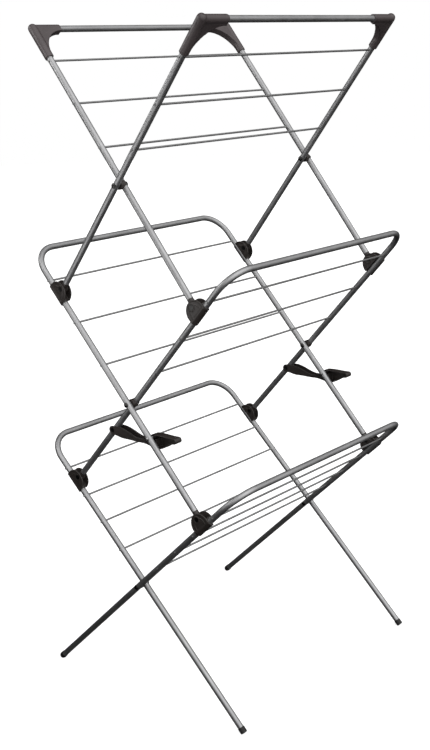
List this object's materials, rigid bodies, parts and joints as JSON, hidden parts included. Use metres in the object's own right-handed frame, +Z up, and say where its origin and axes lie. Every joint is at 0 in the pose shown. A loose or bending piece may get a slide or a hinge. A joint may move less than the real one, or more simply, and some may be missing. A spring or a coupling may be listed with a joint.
{
  "type": "clothes drying rack",
  "caption": "Tall concertina clothes airer with tiers of crossing frames, hinged end to end, carrying bars and wires for washing.",
  "frame": {"origin": "on the floor, midway between the feet and below the crossings", "axes": "+X along the wires from left to right, +Y to the back, +Z up"},
  "size_m": [0.626, 0.5754, 1.4036],
  "materials": {
    "light_steel": "silver-grey metallic paint",
    "wire_steel": "grey coated wire",
    "rivet_steel": "dark zinc-plated steel",
    "corner_plastic": "fine-textured charcoal moulding",
    "hinge_plastic": "fine-textured dark charcoal moulding",
    "foot_rubber": "matte black"
  },
  "bodies": {
    "bottom_crossing": {"bottom_cross_rivets": "rivet_steel"},
    "bottom_back": {"bottom_back_frame": "light_steel", "bottom_back_wire_1": "wire_steel", "bottom_back_wire_2": "wire_steel", "bottom_back_wire_3": "wire_steel", "bottom_back_wire_4": "wire_steel", "bottom_back_bracket_left": "hinge_plastic", "bottom_back_bracket_right": "hinge_plastic", "bottom_back_hinge_pins": "rivet_steel", "front_foot_left": "foot_rubber", "front_foot_right": "foot_rubber"},
    "middle_back": {"middle_back_frame": "light_steel", "middle_back_wire_1": "wire_steel", "middle_back_wire_2": "wire_steel", "middle_back_wire_3": "wire_steel", "middle_back_bracket_left": "hinge_plastic", "middle_back_bracket_right": "hinge_plastic", "middle_back_hinge_pins": "rivet_steel", "middle_back_leg_plugs": "hinge_plastic"},
    "top_back": {"top_back_leg_left": "light_steel", "top_back_leg_right": "light_steel", "top_back_rail": "light_steel", "top_back_corner_left": "corner_plastic", "top_back_corner_right": "corner_plastic", "top_back_wire_1": "wire_steel", "top_back_wire_2": "wire_steel", "top_back_wire_3": "wire_steel", "top_back_leg_plugs": "hinge_plastic", "top_cross_rivets": "rivet_steel", "top_cross_spacers": "hinge_plastic"},
    "bottom_front": {"bottom_front_frame": "light_steel", "bottom_front_wire_1": "wire_steel", "bottom_front_wire_2": "wire_steel", "bottom_front_wire_3": "wire_steel", "bottom_front_wire_4": "wire_steel", "bottom_front_bracket_left": "hinge_plastic", "bottom_front_bracket_right": "hinge_plastic", "bottom_front_hinge_pins": "rivet_steel", "back_foot_left": "foot_rubber", "back_foot_right": "foot_rubber"},
    "middle_front": {"middle_front_frame": "light_steel", "middle_front_wire_1": "wire_steel", "middle_front_wire_2": "wire_steel", "middle_front_wire_3": "wire_steel", "middle_front_bracket_left": "hinge_plastic", "middle_front_bracket_right": "hinge_plastic", "middle_front_hinge_pins": "rivet_steel", "middle_front_leg_plugs": "hinge_plastic", "middle_cross_spacers": "hinge_plastic"},
    "top_front": {"top_front_leg_left": "light_steel", "top_front_leg_right": "light_steel", "top_front_rail": "light_steel", "top_front_corner_left": "corner_plastic", "top_front_corner_right": "corner_plastic", "top_front_wire_1": "wire_steel", "top_front_wire_2": "wire_steel", "top_front_wire_3": "wire_steel", "top_front_leg_plugs": "hinge_plastic"},
    "left_lock_arm": {"lock_arm_left": "hinge_plastic"},
    "right_lock_arm": {"lock_arm_right": "hinge_plastic"}
  },
  "joints": [
    {"name": "bottom_crossing_back", "type": "hinge", "parent": "bottom_crossing", "child": "bottom_back", "pos_m": [0, 0, 0.25986], "axis": [1, 0, 0], "range_deg": [-40.5, 0]},
    {"name": "bottom_crossing_front", "type": "hinge", "parent": "bottom_crossing", "child": "bottom_front", "pos_m": [0, 0, 0.25986], "axis": [1, 0, 0], "range_deg": [0, 40.5]},
    {"name": "lower_hinges_back", "type": "hinge", "parent": "bottom_back", "child": "middle_front", "pos_m": [0, 0.18356, 0.46194], "axis": [1, 0, 0], "range_deg": [0, 81]},
    {"name": "lower_hinges_front", "type": "hinge", "parent": "bottom_front", "child": "middle_back", "pos_m": [0, -0.18356, 0.46194], "axis": [1, 0, 0], "range_deg": [-81, 0]},
    {"name": "upper_hinges_back", "type": "hinge", "parent": "middle_back", "child": "top_front", "pos_m": [0, 0.17348, 0.88252], "axis": [1, 0, 0], "range_deg": [0, 81]},
    {"name": "upper_hinges_front", "type": "hinge", "parent": "middle_front", "child": "top_back", "pos_m": [0, -0.17348, 0.88252], "axis": [1, 0, 0], "range_deg": [-81, 0]},
    {"name": "left_lock_arm_pivot", "type": "hinge", "parent": "middle_front", "child": "left_lock_arm", "pos_m": [0, 0.06354, 0.59407], "axis": [1, 0, 0], "range_deg": [-37.67, 0]},
    {"name": "right_lock_arm_pivot", "type": "hinge", "parent": "middle_front", "child": "right_lock_arm", "pos_m": [0, 0.06354, 0.59407], "axis": [1, 0, 0], "range_deg": [-37.67, 0]}
  ],
  "couplings": [
    {"joint": "bottom_crossing_front", "follows": "bottom_crossing_back", "ratio": -1},
    {"joint": "lower_hinges_back", "follows": "bottom_crossing_back", "ratio": -2},
    {"joint": "lower_hinges_front", "follows": "bottom_crossing_back", "ratio": 2},
    {"joint": "upper_hinges_back", "follows": "bottom_crossing_back", "ratio": -2},
    {"joint": "upper_hinges_front", "follows": "bottom_crossing_back", "ratio": 2},
    {"joint": "left_lock_arm_pivot", "follows": "bottom_crossing_back", "ratio": 0.93},
    {"joint": "right_lock_arm_pivot", "follows": "bottom_crossing_back", "ratio": 0.93}
  ]
}
